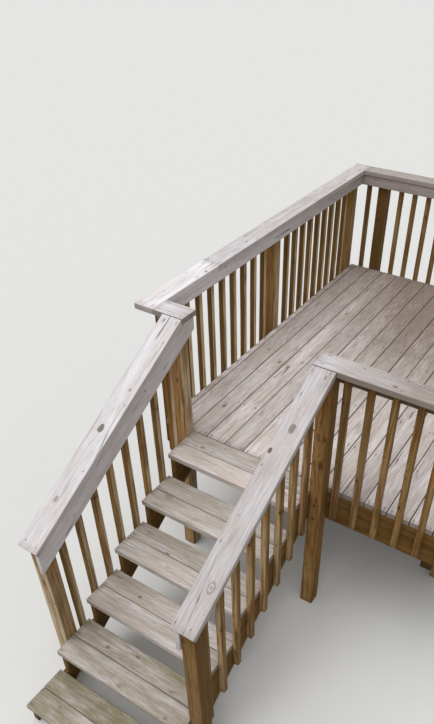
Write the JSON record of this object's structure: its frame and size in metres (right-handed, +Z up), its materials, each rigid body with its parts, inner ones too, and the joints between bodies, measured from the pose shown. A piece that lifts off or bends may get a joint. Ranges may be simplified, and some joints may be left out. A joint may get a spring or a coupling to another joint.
{
  "type": "wooden deck stairs",
  "caption": "Straight open-tread timber stairs rising to a raised plank deck, with capped baluster railings along the flight and round three sides of the deck.",
  "frame": {"origin": "on the ground, below the middle of the whole structure's plan", "axes": "+Z up, +Y up the flight and on across the deck, +X along the treads towards the house side of the deck"},
  "size_m": [2.31, 4.776, 1.994],
  "materials": {
    "cap_wood": "weathered pale grey softwood, bare",
    "deck_wood": "weathered grey-beige softwood, bare",
    "post_wood": "weathered brown softwood, bare",
    "baluster_wood": "weathered brown and grey softwood, bare",
    "frame_wood": "dark brown treated softwood, bare"
  },
  "bodies": {
    "root": {"stringer_left": "frame_wood", "stringer_right": "frame_wood", "tread_1": "deck_wood", "tread_2": "deck_wood", "tread_3": "deck_wood", "tread_4": "deck_wood", "tread_5": "deck_wood", "tread_6": "deck_wood", "stair_post_lower_left": "post_wood", "stair_post_lower_right": "post_wood", "stair_post_upper_left": "post_wood", "stair_post_upper_right": "post_wood", "stair_rail_left": "cap_wood", "stair_rail_right": "cap_wood", "stair_cap_left": "cap_wood", "stair_cap_right": "cap_wood", "stair_balusters_left": "baluster_wood", "stair_balusters_right": "baluster_wood", "return_rail": "cap_wood", "return_cap": "cap_wood", "return_baluster": "baluster_wood", "front_rail": "cap_wood", "front_cap": "cap_wood", "front_balusters": "baluster_wood", "front_end_post": "post_wood", "left_rail": "cap_wood", "left_cap_near": "cap_wood", "left_cap_far": "cap_wood", "left_balusters": "baluster_wood", "left_posts": "post_wood", "far_rail": "cap_wood", "far_cap": "cap_wood", "far_balusters": "baluster_wood", "far_posts": "post_wood", "deck_boards": "deck_wood", "deck_edge_strip": "deck_wood", "rim_front": "frame_wood", "rim_far": "frame_wood", "rim_left": "frame_wood", "rim_right": "frame_wood", "joists": "frame_wood", "beam_left": "frame_wood", "beam_right": "frame_wood", "beam_posts_left": "post_wood", "beam_posts_right": "post_wood"}
  },
  "joints": []
}
